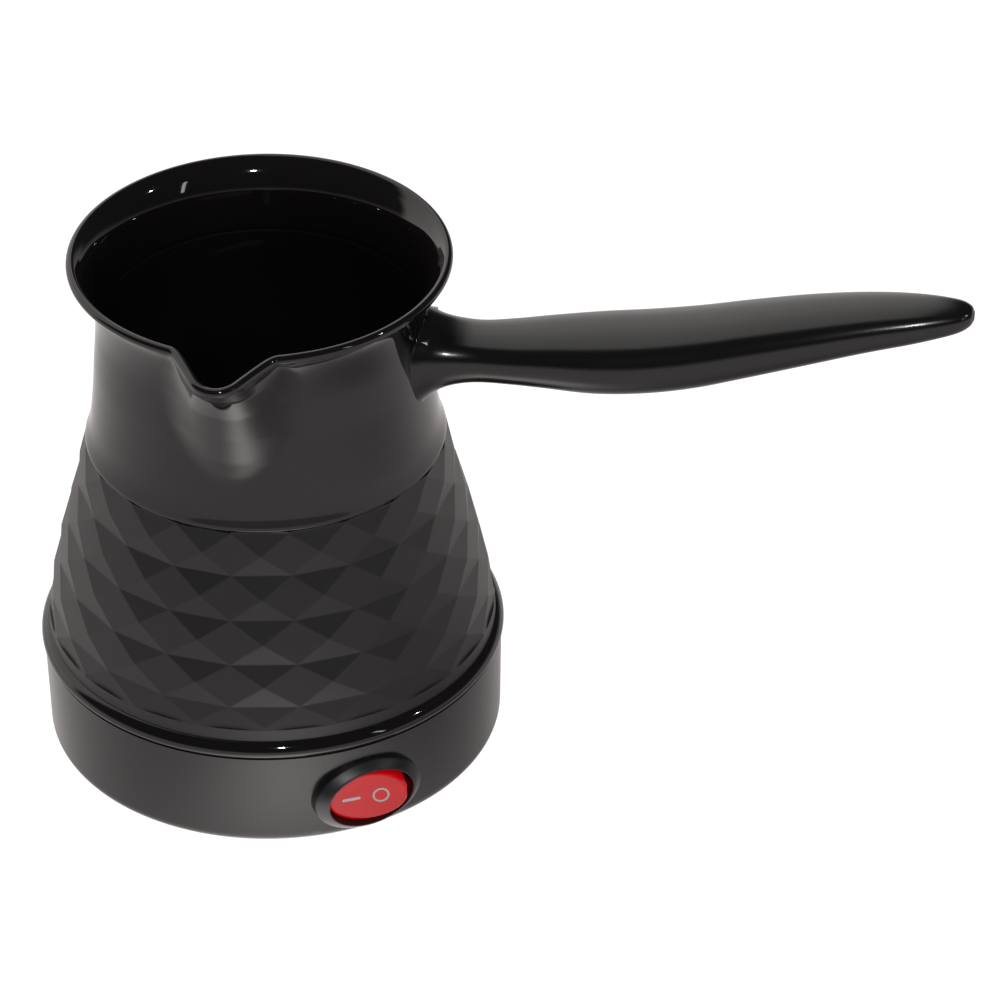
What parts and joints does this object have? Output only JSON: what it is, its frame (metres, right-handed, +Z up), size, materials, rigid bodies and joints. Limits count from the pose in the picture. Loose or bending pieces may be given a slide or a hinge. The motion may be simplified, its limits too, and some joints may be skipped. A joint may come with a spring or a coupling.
{
  "type": "electric turkish coffee maker",
  "caption": "Electric pot for turkish coffee: flared black pot with pouring spout, faceted skirt, round heated base with red oval rocker switch and a long side handle.",
  "frame": {"origin": "on the table under the pot's axis, at the foot plane", "axes": "+Z up, +X along the handle, -Y towards the spout"},
  "size_m": [0.2293, 0.1251, 0.137],
  "materials": {
    "black_enamel": "gloss black coating on steel",
    "black_satin": "satin heat resistant plastic",
    "black_gloss": "gloss moulded plastic",
    "red_lens": "translucent red rocker",
    "rubber_black": "soft black rubber",
    "silicone_grey": "heat resistant silicone",
    "steel": "plain steel",
    "aluminium": "cast aluminium",
    "brass": "brass contacts",
    "ceramic_white": "ceramic and thermoset insulators",
    "lead_white": "heat resistant wire covering",
    "lead_green": "earth wire covering"
  },
  "bodies": {
    "pot": {"vessel_body": "black_enamel", "faceted_skirt": "black_satin", "trim_ring": "black_gloss", "base_housing": "black_satin", "bottom_cover": "black_satin", "rubber_feet": "rubber_black", "cover_screws": "steel", "heat_plate": "aluminium", "heating_coil": "steel", "heat_shield": "steel", "coil_bushes": "ceramic_white", "weld_studs": "steel", "stud_nuts": "steel", "pot_gasket": "silicone_grey", "thermostat": "ceramic_white", "thermostat_tabs": "brass", "thermostat_bracket": "steel", "bracket_rivets": "aluminium", "thermal_fuse": "aluminium", "switch_case": "black_gloss", "switch_tabs": "brass", "handle_strap": "steel", "handle_front": "black_gloss", "handle_back": "black_gloss", "handle_screws": "steel", "cord_gland": "rubber_black", "cord_clamp": "black_satin", "clamp_pads": "black_satin", "clamp_screws": "steel", "terminal_block": "ceramic_white", "terminal_screws": "brass", "lead_coil_a": "lead_white", "lead_coil_b": "lead_white", "lead_switch": "lead_white", "lead_earth": "lead_green"},
    "rocker": {"switch_rocker": "red_lens"},
    "blade": {"contact_blade": "brass"}
  },
  "joints": [
    {"name": "rocker_tilt", "type": "hinge", "parent": "pot", "child": "rocker", "pos_m": [0.03132, -0.04643, 0.0133], "axis": [0, 0, 1], "range_deg": [0, 24]},
    {"name": "blade_tilt", "type": "hinge", "parent": "pot", "child": "blade", "pos_m": [0.02595, -0.03847, 0.0133], "axis": [0, 0, 1], "range_deg": [-18, 0]}
  ],
  "couplings": [
    {"joint": "blade_tilt", "follows": "rocker_tilt", "ratio": -0.75}
  ]
}
